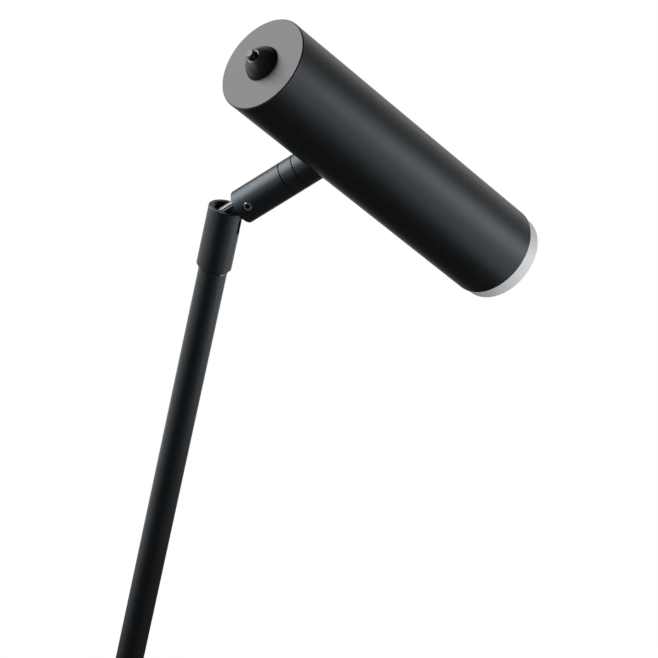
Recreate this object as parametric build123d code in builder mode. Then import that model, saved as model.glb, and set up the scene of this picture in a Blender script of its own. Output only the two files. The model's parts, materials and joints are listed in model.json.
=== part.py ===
from build123d import *
import os
from math import asin, cos, degrees, radians, sin, sqrt, tan

# A piano lamp: a round weighted base, a straight stem with a knuckle joint at each end, and a
# cylindrical head that swivels on a short neck. Millimetres, +Z up. The origin is the centre of the
# base's underside. The stem leans and the neck bends in the XZ plane, towards +X.

# ---------------------------------------------------------------- driving sizes

# Pose in which the lamp is stored, in degrees.
stem_lean = 12.26
neck_bend = 41.72
head_turn = 33.73

# Clearances.
running_gap = 0.03
seat_gap = 0.05
face_gap = 0.02
slip_gap = 0.25
wire_gap = 0.1

# Base.
base_radius = 75.0
pad_inset = 3.0
pad_height = 1.5
plate_height = 1.5
shell_height = 13.5
shell_wall = 1.5
shell_round = 2.5
weight_web = 4.0
nut_recess = 14.0
channel_width = 14.0
plate_screw_circle_radius = 48.0
plate_screw_radius = 2.0
plate_screw_head = 3.8
plate_screw_head_height = 1.2
plate_screw_length = 7.0

# Knuckle joints, the same at both ends of the stem.
knuckle_radius = 7.3
knuckle_bore = 4.67
knuckle_above = 4.9
knuckle_below = 21.9
knuckle_bore_depth = 12.5
slot_spare = 0.35
mouth_bevel = 0.85
edge_break = 0.3
blade_thickness = 4.4
tongue_play = 0.32
shank_end = 18.5
pin_radius = 1.5
pin_thread = 2.0
pin_recess = 0.5
pin_blind = 1.5
blade_run_out = 0.6
hex_across = 2.0
hex_depth = 1.5
set_screw_radius = 2.0
set_screw_recess = 0.25
set_screw_bevel = 0.35
arm_end = 9.2
set_screw_at = 14.7

# Stem.
stem_length = 280.0
stem_radius = 6.0
stem_wall = 1.0
stem_ring_height = 0.7
stem_ring_drop = 0.9
stem_ring_grip = 0.3
stem_ring_stand = 0.25

# Foot post, the tube that carries the lower joint.
post_height = 26.0
post_bore_depth = 21.0
post_thread = 5.0
post_passage = 2.5
post_nut_across = 17.0
post_nut_height = 3.5
post_washer_radius = 11.0
post_washer_height = 1.0
post_thread_spare = 0.5

# Neck and swivel, measured along the neck from the upper pivot.
neck_bore_depth = 27.0
neck_end = 34.1
ring_length = 5.95
ring_spigot_radius = 5.5
ring_spigot_length = 3.9
seam_rebate = 0.55
seam_depth = 0.5
washer_height = 0.5
washer_inset = 0.6
nipple_radius = 3.0
nipple_bore = 2.0
swivel_nut_height = 3.0
swivel_nut_inset = 0.15
swivel_nut_slot_depth = 1.0
swivel_nut_slot = 0.8
spring_washer_height = 0.8
nipple_spare = 0.8
stop_pin_radius = 0.8
stop_circle_radius = 5.0
stop_groove_depth = 1.3
stop_pin_grip = 3.0
stop_margin = 1.0
swivel_half_range = 145.0

# Head, measured along its own axis from the neck's axis, forwards.
head_offset = 66.6
head_radius = 20.0
head_wall = 1.5
head_back_length = 58.1
head_front_length = 94.9
saddle_radius = 6.5
saddle_height = 3.0
nipple_nut_across = 9.0
nipple_nut_height = 2.8

# Switch end.
end_plate_height = 2.0
end_plate_bevel = 0.38
spigot_length = 6.0
spigot_wall = 2.0
lug_height = 4.6
lug_half_width = 6.0
lug_length = 12.0
switch_thread = 5.0
switch_thread_height = 2.8
switch_nut_radius = 7.5
switch_nut_height = 5.7
switch_nut_top = 2.75
switch_nut_bulge = 0.8
switch_nut_bulge_height = 3.0
switch_body_radius = 8.0
switch_body_length = 18.0
switch_cavity_radius = 5.0
switch_roof = 2.5
switch_floor = 3.0
switch_clearance = 0.2
plunger_radius = 1.95
plunger_spare = 0.6
plunger_flange_radius = 4.2
plunger_flange_height = 1.5
plunger_round = 0.5
switch_travel = 1.6
spring_wire = 0.3
spring_radius = 3.0
spring_turns = 5
terminal_length = 5.0
terminal_width = 2.8
terminal_thickness = 0.8
terminal_spacing = 6.0

# Driver on its tray.
tray_height = 1.0
tray_margin = 1.65
tray_behind_board = 8.0
tray_before_board = 4.0
tray_screw_radius = 1.25
tray_screw_head = 2.3
tray_screw_head_height = 1.4
tray_screw_length = 4.0
tray_screw_spacing = 7.0
tray_overlap = 10.0
standoff_height = 2.4
standoff_radius = 2.2
board_height = 1.6
board_margin = 2.0
board_length = 70.0
board_from_switch = 4.1
board_corner = 3.0
transformer_size = (13.0, 14.0, 11.0)
transformer_at = 47.0
capacitor_radius = 3.8
capacitor_length = 11.0
capacitor_at = 18.0
coil_radius = 4.5
coil_length = 7.0
coil_at = 32.5
block_size = (7.0, 10.0, 6.0)
block_margin = 2.0

# Light engine and diffuser.
sink_lug_length = 11.0
sink_length = 28.0
fin_slots = 16
fin_slot_width = 1.6
fin_slot_depth = 5.0
fin_plate = 4.0
lamp_board_margin = 4.25
lamp_board_height = 1.6
lamp_wire_hole_at = 8.6
lamp_wire_hole = 1.5
emitter_radius = 5.5
emitter_height = 1.0
lamp_screw_inset = 2.4
lamp_screw_radius = 1.25
lamp_screw_head = 2.1
lamp_screw_head_height = 1.5
lamp_screw_length = 5.0
reflector_throat = 6.4
reflector_wall = 0.8
reflector_length = 9.0
reflector_gap = 1.8
diffuser_step = 0.8
diffuser_reach = 7.1
diffuser_wall = 1.6
diffuser_spigot = 5.0
diffuser_spigot_wall = 1.4
diffuser_round = 1.2
grub_radius = 1.5
grub_length = 5.0
grub_inset = 14.0
grub_hex_across = 1.5

# Wiring and the inlet.
wire_radius = 0.6
wire_pitch = 0.7
wire_straight = 1.0
wire_bend = 0.9
wire_wide_bend = 1.2
wire_sweep = 8.0
wire_spread = 1.4
block_lead = 4.0
link_tail = 2.0
switch_wire_dip = 2.5
driver_wire_dip = 3.0
lamp_wire_lead = 2.5
lamp_wire_spread = 2.1
gland_bore = 3.0
gland_neck = 4.2
gland_flange_radius = 5.4
gland_flange = 1.6
gland_tail = 3.0
gland_tail_flare = 0.4
terminal_block_size = (16.0, 11.0, 7.5)
terminal_block_at = -36.0
terminal_screw_radius = 1.6
terminal_screw_height = 1.2

# ---------------------------------------------------------------- places and frames

weight_base = pad_height + plate_height
shell_top = pad_height + shell_height
weight_top = shell_top - shell_wall
lower_pivot = Vector(0, 0, shell_top + post_height + arm_end)


def turned(frame, direction, angle):
    """The frame, turned about a direction through its own origin."""
    pivot_line = Axis(frame.origin, direction)
    return Plane(
        origin=frame.origin,
        x_dir=frame.x_dir.rotate(pivot_line, angle),
        z_dir=frame.z_dir.rotate(pivot_line, angle),
    )


# Stem frame: origin at the lower pivot, z up the stem, y away from the viewer, x to the slot side.
stem_frame = turned(Plane(origin=lower_pivot), (0, 1, 0), stem_lean)
upper_joint = stem_frame.offset(stem_length)
# The lower joint is the upper one turned end for end, so its frame looks down the stem.
lower_joint = Plane(origin=lower_pivot, x_dir=stem_frame.x_dir, z_dir=-stem_frame.z_dir)
# Arm frames: z runs from the pivot along the arm that carries the blade.
neck_frame = turned(upper_joint, (0, 1, 0), neck_bend)
post_frame = Plane(origin=lower_pivot, x_dir=(1, 0, 0), z_dir=(0, 0, -1))
# Head frame: z runs to the front of the head, x away from the neck.
swivel_frame = turned(neck_frame, neck_frame.z_dir, head_turn)
head_centre = neck_frame.from_local_coords((0, 0, head_offset))
head_frame = Plane(origin=head_centre, x_dir=swivel_frame.z_dir, z_dir=swivel_frame.x_dir)


def across(frame, height, direction=1):
    """A frame on the same origin line, with z along the old y, at a height along the old z."""
    return Plane(
        origin=frame.from_local_coords((0, 0, height)),
        x_dir=frame.x_dir,
        z_dir=frame.y_dir * direction,
    )


def sideways(frame, height, along_y):
    """A frame with z along the old x, at a place along the old z and y."""
    origin = frame.from_local_coords((0, along_y, height))
    return Plane(origin=origin, x_dir=frame.z_dir, z_dir=frame.x_dir)


def turn(frame, *outline, mode=Mode.ADD):
    """Revolves an outline of (radius, height) points about the frame's z axis."""
    section = Plane(origin=frame.origin, x_dir=frame.x_dir, z_dir=-frame.y_dir)
    with BuildSketch(section) as profile:
        with BuildLine():
            Polyline(*outline, close=True)
        make_face()
    revolve(profile.sketch, axis=Axis(frame.origin, frame.z_dir), mode=mode)


def tube(frame, low, high, outer, inner=0.0, mode=Mode.ADD):
    """A round bar or tube between two heights of the frame."""
    turn(frame, (inner, low), (outer, low), (outer, high), (inner, high), mode=mode)


def block(frame, x, y, z, mode=Mode.ADD):
    """A box between (low, high) pairs in the frame."""
    with BuildSketch(frame.offset(z[0])) as base:
        with Locations(((x[0] + x[1]) / 2, (y[0] + y[1]) / 2)):
            Rectangle(x[1] - x[0], y[1] - y[0])
    extrude(base.sketch, amount=z[1] - z[0], mode=mode)


def hexagon(frame, low, high, flats, mode=Mode.ADD):
    """A hexagonal bar between two heights of the frame."""
    with BuildSketch(frame.offset(low)) as base:
        RegularPolygon(flats / 2, 6, major_radius=False)
    extrude(base.sketch, amount=high - low, mode=mode)


def wire(frame, points, bends):
    """A wire of straight runs and arcs through points given in the frame."""
    with BuildLine() as route:
        FilletPolyline(*[frame.from_local_coords(point) for point in points], radius=bends)
    with BuildSketch(Plane(origin=route.line @ 0, z_dir=route.line % 0)) as core:
        Circle(wire_radius)
    sweep(core.sketch, path=route.line)


# ---------------------------------------------------------------- base

weight_radius = base_radius - shell_wall - slip_gap
web_low = weight_top - weight_web
post_thread_end = web_low - post_washer_height - post_nut_height - post_thread_spare
inlet_height = weight_base + gland_neck + gland_tail_flare + slip_gap

with BuildPart() as foot_pad:
    tube(Plane.XY, 0, pad_height, base_radius - pad_inset)
foot_pad.part.label = "foot_pad"

with BuildPart() as base_plate:
    tube(Plane.XY, pad_height, weight_base, weight_radius)
    with BuildSketch(Plane.XY.offset(pad_height)):
        with PolarLocations(plate_screw_circle_radius, 3, 60):
            Circle(plate_screw_head + seat_gap)
    extrude(amount=plate_screw_head_height, mode=Mode.SUBTRACT)
    with BuildSketch(Plane.XY.offset(pad_height)):
        with PolarLocations(plate_screw_circle_radius, 3, 60):
            Circle(plate_screw_radius + seat_gap)
    extrude(amount=plate_height, mode=Mode.SUBTRACT)
base_plate.part.label = "base_plate"

with BuildPart() as base_weight:
    tube(Plane.XY, weight_base, weight_top, weight_radius - shell_round / 2)
    tube(Plane.XY, weight_base, web_low, nut_recess, mode=Mode.SUBTRACT)
    tube(Plane.XY, web_low, weight_top, post_thread + slip_gap, mode=Mode.SUBTRACT)
    block(
        Plane.XY,
        (-base_radius, -post_washer_radius - seat_gap),
        (-channel_width / 2, channel_width / 2),
        (weight_base, weight_top),
        mode=Mode.SUBTRACT,
    )
    with BuildSketch(Plane.XY.offset(weight_base)):
        with PolarLocations(plate_screw_circle_radius, 3, 60):
            Circle(plate_screw_radius + running_gap)
    extrude(amount=plate_screw_length, mode=Mode.SUBTRACT)
base_weight.part.label = "base_weight"

with BuildPart() as plate_screws:
    with BuildSketch(Plane.XY.offset(pad_height)):
        with PolarLocations(plate_screw_circle_radius, 3, 60):
            Circle(plate_screw_head)
    extrude(amount=plate_screw_head_height)
    with BuildSketch(Plane.XY.offset(pad_height)):
        with PolarLocations(plate_screw_circle_radius, 3, 60):
            Circle(plate_screw_radius)
    extrude(amount=plate_screw_length)
    with BuildSketch(Plane.XY.offset(pad_height)):
        with PolarLocations(plate_screw_circle_radius, 3, 60):
            RegularPolygon(hex_across / 2, 6, major_radius=False)
    extrude(amount=plate_screw_head_height, mode=Mode.SUBTRACT)
plate_screws.part.label = "plate_screws"

with BuildPart() as base_shell:
    tube(Plane.XY, pad_height, shell_top, base_radius)
    fillet(base_shell.edges().group_by(Axis.Z)[-1], radius=shell_round)
    tube(Plane.XY, pad_height, weight_top, base_radius - shell_wall, mode=Mode.SUBTRACT)
    tube(Plane.XY, weight_top, shell_top, post_thread + slip_gap, mode=Mode.SUBTRACT)
    with BuildSketch(Plane(origin=(0, 0, inlet_height), x_dir=(0, 1, 0), z_dir=(-1, 0, 0))):
        Circle(gland_neck + seat_gap)
    extrude(amount=base_radius + gland_flange, mode=Mode.SUBTRACT)
base_shell.part.label = "base_shell"

# The gland's flanges are flat and the shell is round, so its groove spans the wall and the bow.
gland_bow = base_radius - sqrt(base_radius**2 - gland_flange_radius**2)
gland_outside = base_radius + face_gap
gland_inside = base_radius - shell_wall - gland_bow - face_gap
gland_frame = Plane(origin=(0, 0, inlet_height), x_dir=(0, 0, 1), z_dir=(-1, 0, 0))

with BuildPart() as cord_gland:
    turn(
        gland_frame,
        (gland_bore, gland_inside - gland_tail),
        (gland_neck, gland_inside - gland_tail),
        (gland_neck + gland_tail_flare, gland_inside - seat_gap),
        (gland_neck, gland_inside),
        (gland_neck, gland_outside),
        (gland_flange_radius, gland_outside),
        (gland_flange_radius - edge_break, gland_outside + gland_flange),
        (gland_bore, gland_outside + gland_flange),
    )
cord_gland.part.label = "cord_gland"

block_x = (
    terminal_block_at - terminal_block_size[0] / 2,
    terminal_block_at + terminal_block_size[0] / 2,
)
block_y = terminal_block_size[1] / 2
block_top = weight_base + terminal_block_size[2]

with BuildPart() as terminal_block:
    block(Plane.XY, block_x, (-block_y, block_y), (weight_base, block_top))
    with BuildSketch(Plane.XY.offset(block_top)):
        with Locations((terminal_block_at, 0)):
            with GridLocations(terminal_block_size[0] / 2, block_y, 2, 2):
                Circle(terminal_screw_radius + running_gap)
    extrude(amount=-2 * terminal_screw_height, mode=Mode.SUBTRACT)
terminal_block.part.label = "terminal_block"

with BuildPart() as terminal_screws:
    with BuildSketch(Plane.XY.offset(block_top - 2 * terminal_screw_height)):
        with Locations((terminal_block_at, 0)):
            with GridLocations(terminal_block_size[0] / 2, block_y, 2, 2):
                Circle(terminal_screw_radius)
    extrude(amount=terminal_screw_height)
terminal_screws.part.label = "terminal_screws"

with BuildPart() as post_washer:
    tube(Plane.XY, web_low - post_washer_height, web_low, post_washer_radius, post_thread + seat_gap)
post_washer.part.label = "post_washer"

with BuildPart() as post_nut:
    nut_top = web_low - post_washer_height
    hexagon(Plane.XY, nut_top - post_nut_height, nut_top, post_nut_across)
    tube(
        Plane.XY,
        nut_top - post_nut_height,
        nut_top,
        post_thread + running_gap,
        mode=Mode.SUBTRACT,
    )
post_nut.part.label = "post_nut"

# ---------------------------------------------------------------- the knuckle joint's pieces

blade_half = blade_thickness / 2
tongue_radius = knuckle_bore - tongue_play
slot_half = blade_half + slip_gap
slot_depth = tongue_radius + slot_spare
pin_end = knuckle_radius - pin_recess
socket_radius = stem_radius + seat_gap
shank_radius = knuckle_bore - seat_gap


def knuckle(joint, front):
    """The slotted housing. It opens along the joint's z and its slot faces the joint's x."""
    side = across(joint, 0, front)
    with BuildPart() as housing:
        turn(
            joint,
            (knuckle_bore, -knuckle_bore_depth),
            (socket_radius, -knuckle_bore_depth),
            (socket_radius, -knuckle_below),
            (knuckle_radius - edge_break, -knuckle_below),
            (knuckle_radius, -knuckle_below + edge_break),
            (knuckle_radius, knuckle_above - edge_break),
            (knuckle_radius - edge_break, knuckle_above),
            (knuckle_bore + mouth_bevel, knuckle_above),
            (knuckle_bore, knuckle_above - mouth_bevel),
        )
        block(
            joint,
            (0, 2 * knuckle_radius),
            (-slot_half, slot_half),
            (-slot_depth, 2 * knuckle_above),
            mode=Mode.SUBTRACT,
        )
        tube(side, 0, knuckle_radius, pin_thread + running_gap, mode=Mode.SUBTRACT)
        tube(side, -knuckle_bore - pin_blind, 0, pin_radius + running_gap, mode=Mode.SUBTRACT)
    return housing


def blade(arm):
    """The tongue: a round shank that ends in a ball on the pivot, with two flats and an eye."""
    with BuildPart() as tongue:
        tube(arm, arm_end + blade_run_out, shank_end, shank_radius)
        tube(arm, 0, arm_end + blade_run_out, tongue_radius)
        with Locations(arm.location):
            Sphere(tongue_radius)
        for flat in ((blade_half, knuckle_radius), (-knuckle_radius, -blade_half)):
            block(
                arm,
                (-knuckle_radius, knuckle_radius),
                flat,
                (-knuckle_radius, shank_end),
                mode=Mode.SUBTRACT,
            )
        tube(across(arm, 0), -blade_half, blade_half, pin_radius + running_gap, mode=Mode.SUBTRACT)
    return tongue


def pivot_pin(joint, front):
    """A shouldered pin: a thread in one ear, a plain end through the eye into the other ear."""
    side = across(joint, 0, front)
    with BuildPart() as pin:
        tube(side, blade_half + face_gap, pin_end, pin_thread)
        tube(side, -knuckle_bore - pin_blind + seat_gap, blade_half + face_gap, pin_radius)
        hexagon(side, pin_end - hex_depth, pin_end, hex_across, mode=Mode.SUBTRACT)
    return pin


def friction_bush(joint, front):
    """The bush on the pin that holds the blade in the middle of the slot."""
    side = across(joint, 0, front)
    reach = sqrt(knuckle_bore**2 - pin_thread**2) - seat_gap
    with BuildPart() as bush:
        tube(side, -reach, -blade_half - face_gap, pin_thread, pin_radius + running_gap)
    return bush


def set_screw(arm, direction):
    """The grub screw through the arm's wall that clamps the flat of the shank."""
    screw_frame = across(arm, set_screw_at, direction)
    head = knuckle_radius - set_screw_recess
    with BuildPart() as screw:
        turn(
            screw_frame,
            (0, blade_half + face_gap),
            (set_screw_radius, blade_half + face_gap),
            (set_screw_radius, head - set_screw_bevel),
            (set_screw_radius - set_screw_bevel, head),
            (0, head),
        )
        hexagon(screw_frame, head - hex_depth, head, hex_across, mode=Mode.SUBTRACT)
    return screw


# Joint wiring: two wires pass the pin on the side away from the slot, one at each side of the blade.
lead_x = pin_thread + wire_gap + wire_radius
lead_y = blade_half + wire_gap + wire_radius
link_start = -knuckle_bore_depth
link_end = shank_end - link_tail


def joint_wires(joint, arm):
    """The wires that bend past the pin when the joint moves."""
    bend = arm.z_dir.get_angle(joint.z_dir)
    corner = lead_x / cos(radians(bend / 2))
    with BuildPart() as link:
        for lead in (-lead_y, lead_y):
            start = joint.from_local_coords((-lead_x, lead, link_start))
            end = arm.from_local_coords((-lead_x, lead, link_end))
            middle = joint.from_local_coords(
                (-corner * cos(radians(bend / 2)), lead, corner * sin(radians(bend / 2)))
            )
            wire(Plane.XY, [start, middle, end], lead_x)
    return link


# ---------------------------------------------------------------- lower joint and foot post

lower_knuckle = knuckle(lower_joint, -1)
lower_knuckle.part.label = "lower_knuckle"

lower_tongue = blade(post_frame)
lower_tongue.part.label = "lower_tongue"

lower_pivot_pin = pivot_pin(lower_joint, -1)
lower_pivot_pin.part.label = "lower_pivot_pin"

lower_friction_bush = friction_bush(lower_joint, -1)
lower_friction_bush.part.label = "lower_friction_bush"

foot_set_screw = set_screw(post_frame, 1)
foot_set_screw.part.label = "foot_set_screw"

lower_joint_wires = joint_wires(lower_joint, post_frame)
lower_joint_wires.part.label = "lower_joint_wires"

post_foot = arm_end + post_height
thread_foot = lower_pivot.Z - post_thread_end

with BuildPart() as foot_post:
    turn(
        post_frame,
        (knuckle_bore, arm_end),
        (knuckle_radius - edge_break, arm_end),
        (knuckle_radius, arm_end + edge_break),
        (knuckle_radius, post_foot),
        (post_thread, post_foot),
        (post_thread, thread_foot),
        (post_passage, thread_foot),
        (post_passage, arm_end + post_bore_depth),
        (knuckle_bore, arm_end + post_bore_depth),
    )
    tube(
        across(post_frame, set_screw_at, 1),
        0,
        knuckle_radius,
        set_screw_radius + running_gap,
        mode=Mode.SUBTRACT,
    )
foot_post.part.label = "foot_post"

# The base wires leave the terminal block, pass under the post's end and turn up its bore.
crawl = weight_base + wire_gap + wire_radius
crawl_down = lower_pivot.Z - crawl
passage_mouth = arm_end + post_bore_depth
gather = passage_mouth + wire_straight

with BuildPart() as base_wires:
    for lead in (-1, 1):
        wire(
            post_frame,
            [
                (block_x[1], lead * wire_spread, crawl_down),
                (block_x[1] + block_lead, lead * wire_spread, crawl_down),
                (block_x[1] / 2, lead * wire_pitch, crawl_down),
                (0, lead * wire_pitch, crawl_down),
                (0, lead * wire_pitch, gather),
                (-lead_x, lead * lead_y, shank_end + wire_straight),
                (-lead_x, lead * lead_y, link_end),
            ],
            [wire_sweep, wire_sweep, wire_bend, wire_bend, wire_bend],
        )
base_wires.part.label = "base_wires"

# ---------------------------------------------------------------- stem

stem_low = knuckle_bore_depth
stem_high = stem_length - knuckle_bore_depth
# A thin bright ring sits in a groove of the stem, just clear of each housing.
ring_from_pivot = knuckle_below + stem_ring_drop
ring_feet = (ring_from_pivot, stem_length - ring_from_pivot - stem_ring_height)
groove_radius = stem_radius - stem_ring_grip

with BuildPart() as stem_tube:
    tube(stem_frame, stem_low + face_gap, stem_high - face_gap, stem_radius, stem_radius - stem_wall)
    for foot in ring_feet:
        tube(
            stem_frame,
            foot,
            foot + stem_ring_height,
            stem_radius + stem_ring_stand,
            groove_radius,
            mode=Mode.SUBTRACT,
        )
stem_tube.part.label = "stem_tube"

with BuildPart() as stem_rings:
    for foot in ring_feet:
        tube(
            stem_frame,
            foot + face_gap,
            foot + stem_ring_height - face_gap,
            stem_radius + stem_ring_stand,
            groove_radius + seat_gap,
        )
stem_rings.part.label = "stem_rings"

with BuildPart() as stem_wires:
    with BuildSketch(stem_frame.offset(stem_low)) as pair:
        with Locations((-lead_x, -lead_y), (-lead_x, lead_y)):
            Circle(wire_radius)
    extrude(pair.sketch, amount=stem_high - stem_low)
stem_wires.part.label = "stem_wires"

# ---------------------------------------------------------------- upper joint

upper_knuckle = knuckle(upper_joint, 1)
upper_knuckle.part.label = "upper_knuckle"

neck_tongue = blade(neck_frame)
neck_tongue.part.label = "neck_tongue"

upper_pivot_pin = pivot_pin(upper_joint, 1)
upper_pivot_pin.part.label = "upper_pivot_pin"

upper_friction_bush = friction_bush(upper_joint, 1)
upper_friction_bush.part.label = "upper_friction_bush"

neck_set_screw = set_screw(neck_frame, -1)
neck_set_screw.part.label = "neck_set_screw"

upper_joint_wires = joint_wires(upper_joint, neck_frame)
upper_joint_wires.part.label = "upper_joint_wires"

# ---------------------------------------------------------------- neck and swivel

nipple_hole = nipple_radius + running_gap
spigot_end = neck_end + ring_spigot_length
ring_end = neck_end + ring_length
collar_start = ring_end + washer_height
nipple_low = neck_bore_depth - spring_washer_height - swivel_nut_height - nipple_spare
saddle_inner = head_offset - head_radius + head_wall + saddle_height
nipple_high = saddle_inner + nipple_nut_height + nipple_spare

with BuildPart() as neck_body:
    turn(
        neck_frame,
        (knuckle_bore, arm_end),
        (knuckle_radius - edge_break, arm_end),
        (knuckle_radius, arm_end + edge_break),
        (knuckle_radius, neck_end - seam_rebate),
        (knuckle_radius - seam_depth, neck_end - seam_rebate),
        (knuckle_radius - seam_depth, neck_end),
        (ring_spigot_radius, neck_end),
        (ring_spigot_radius, spigot_end),
        (nipple_hole, spigot_end),
        (nipple_hole, neck_bore_depth),
        (knuckle_bore, neck_bore_depth),
    )
    tube(
        across(neck_frame, set_screw_at, -1),
        0,
        knuckle_radius,
        set_screw_radius + running_gap,
        mode=Mode.SUBTRACT,
    )
neck_body.part.label = "neck_body"

# The ring's groove lets the stop pin travel and its land stops the head before the wires twist.
pin_angle = degrees(asin(stop_pin_radius / stop_circle_radius))
land_half = 180 - swivel_half_range - pin_angle - stop_margin
groove_half = stop_pin_radius + slip_gap

with BuildPart() as swivel_ring:
    turn(
        neck_frame,
        (ring_spigot_radius + seat_gap, neck_end),
        (knuckle_radius, neck_end),
        (knuckle_radius, ring_end),
        (nipple_hole, ring_end),
        (nipple_hole, spigot_end + seat_gap),
        (ring_spigot_radius + seat_gap, spigot_end + seat_gap),
    )
    with BuildSketch(neck_frame.offset(ring_end)) as groove:
        Circle(stop_circle_radius + groove_half)
        Circle(stop_circle_radius - groove_half, mode=Mode.SUBTRACT)
        with BuildLine():
            far = 2 * knuckle_radius
            land_y = far * tan(radians(land_half))
            Polyline((0, 0), (-far, land_y), (-far, -land_y), close=True)
        make_face(mode=Mode.SUBTRACT)
    extrude(groove.sketch, amount=-stop_groove_depth, mode=Mode.SUBTRACT)
swivel_ring.part.label = "swivel_ring"

with BuildPart() as spring_washer:
    tube(
        neck_frame,
        neck_bore_depth - spring_washer_height,
        neck_bore_depth,
        knuckle_bore - swivel_nut_inset,
        nipple_hole,
    )
spring_washer.part.label = "spring_washer"

with BuildPart() as swivel_nut:
    nut_high = neck_bore_depth - spring_washer_height - face_gap
    nut_low = nut_high - swivel_nut_height
    nut_radius = knuckle_bore - swivel_nut_inset
    tube(neck_frame, nut_low, nut_high, nut_radius, nipple_hole)
    block(
        neck_frame,
        (-nut_radius, nut_radius),
        (-swivel_nut_slot / 2, swivel_nut_slot / 2),
        (nut_low, nut_low + swivel_nut_slot_depth),
        mode=Mode.SUBTRACT,
    )
swivel_nut.part.label = "swivel_nut"

stop_frame = Plane(
    origin=swivel_frame.from_local_coords((stop_circle_radius, 0, 0)),
    x_dir=swivel_frame.x_dir,
    z_dir=swivel_frame.z_dir,
)

with BuildPart() as swivel_washer:
    tube(
        neck_frame,
        ring_end + face_gap,
        collar_start,
        knuckle_radius - washer_inset,
        nipple_hole,
    )
    tube(stop_frame, ring_end, collar_start, stop_pin_radius + seat_gap, mode=Mode.SUBTRACT)
swivel_washer.part.label = "swivel_washer"

with BuildPart() as stop_pin:
    tube(
        stop_frame,
        ring_end - stop_groove_depth + slip_gap,
        collar_start + stop_pin_grip,
        stop_pin_radius,
    )
stop_pin.part.label = "stop_pin"

with BuildPart() as swivel_nipple:
    tube(neck_frame, nipple_low, nipple_high, nipple_radius, nipple_bore)
swivel_nipple.part.label = "swivel_nipple"

with BuildPart() as head_collar:
    tube(neck_frame, collar_start, head_offset, knuckle_radius, nipple_hole)
    tube(
        head_frame,
        -2 * head_radius,
        2 * head_radius,
        head_radius + face_gap,
        mode=Mode.SUBTRACT,
    )
    tube(
        stop_frame,
        collar_start,
        collar_start + stop_pin_grip + face_gap,
        stop_pin_radius + running_gap,
        mode=Mode.SUBTRACT,
    )
head_collar.part.label = "head_collar"

# The wires spread from the shank's flats to the nipple, one behind the other along the head.
turn_cos = cos(radians(head_turn))
turn_sin = sin(radians(head_turn))

with BuildPart() as neck_wires:
    for lead in (-1, 1):
        wire(
            neck_frame,
            [
                (-lead_x, lead * lead_y, link_end),
                (-lead_x, lead * lead_y, shank_end + wire_straight),
                (lead * wire_pitch * turn_cos, lead * wire_pitch * turn_sin, nipple_low - wire_straight),
                (lead * wire_pitch * turn_cos, lead * wire_pitch * turn_sin, nipple_low),
            ],
            [wire_bend, wire_bend],
        )
neck_wires.part.label = "neck_wires"

# ---------------------------------------------------------------- head

# The light engine's places follow from the head's front, the driver's from the switch.
lens_front = head_front_length + diffuser_reach
reflector_front = lens_front - diffuser_wall - reflector_gap
lamp_board_front = reflector_front - reflector_length
sink_front = lamp_board_front - lamp_board_height
sink_offset = sink_front - sink_length
grub_at = sink_front - grub_inset
tube_inside = head_radius - head_wall
insert_radius = tube_inside - seat_gap
plate_face = -head_back_length
plate_inner = plate_face + end_plate_height
saddle_face = head_offset - tube_inside
lug_inner = switch_body_radius + switch_clearance + tray_screw_head_height + tray_height
lug_outer = lug_inner + lug_height

with BuildPart() as head_tube:
    tube(head_frame, plate_inner, head_front_length, head_radius, tube_inside)
    tube(neck_frame, saddle_face - head_radius / 2, saddle_inner, nipple_hole, mode=Mode.SUBTRACT)
    tube(
        across(head_frame, grub_at, -1),
        0,
        head_radius,
        grub_radius + running_gap,
        mode=Mode.SUBTRACT,
    )
head_tube.part.label = "head_tube"

with BuildPart() as saddle_washer:
    tube(neck_frame, saddle_face - saddle_radius, saddle_inner, saddle_radius, nipple_hole)
    with BuildSketch(head_frame.offset(-2 * saddle_radius)) as shell_cut:
        Circle(2 * head_radius)
        Circle(insert_radius, mode=Mode.SUBTRACT)
    extrude(shell_cut.sketch, amount=4 * saddle_radius, mode=Mode.SUBTRACT)
saddle_washer.part.label = "saddle_washer"

with BuildPart() as nipple_nut:
    hexagon(neck_frame, saddle_inner, saddle_inner + nipple_nut_height, nipple_nut_across)
    tube(
        neck_frame,
        saddle_inner,
        saddle_inner + nipple_nut_height,
        nipple_hole,
        mode=Mode.SUBTRACT,
    )
nipple_nut.part.label = "nipple_nut"

tray_under = lug_inner - tray_height
plate_screws_at = plate_inner + lug_length - tray_overlap / 2
sink_lug_back = sink_offset - sink_lug_length
sink_screws_at = sink_lug_back + tray_overlap / 2

with BuildPart() as end_plate:
    turn(
        head_frame,
        (switch_thread + seat_gap, plate_face),
        (head_radius - end_plate_bevel, plate_face),
        (head_radius, plate_face + end_plate_bevel),
        (head_radius, plate_inner),
        (switch_thread + seat_gap, plate_inner),
    )
    tube(head_frame, plate_inner, plate_inner + spigot_length, insert_radius, insert_radius - spigot_wall)
    block(
        head_frame,
        (lug_inner, lug_outer),
        (-lug_half_width, lug_half_width),
        (plate_inner, plate_inner + lug_length),
    )
    for lead in (-tray_screw_spacing / 2, tray_screw_spacing / 2):
        tube(
            sideways(head_frame, plate_screws_at, lead),
            lug_inner,
            lug_inner + tray_screw_length,
            tray_screw_radius + running_gap,
            mode=Mode.SUBTRACT,
        )
end_plate.part.label = "end_plate"

# The push switch: its threaded neck passes through the end plate and the domed nut holds it.
body_end = plate_inner + switch_body_length
cavity_top = plate_inner + switch_roof
cavity_end = body_end - switch_floor
thread_top = plate_face - switch_thread_height

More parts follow.
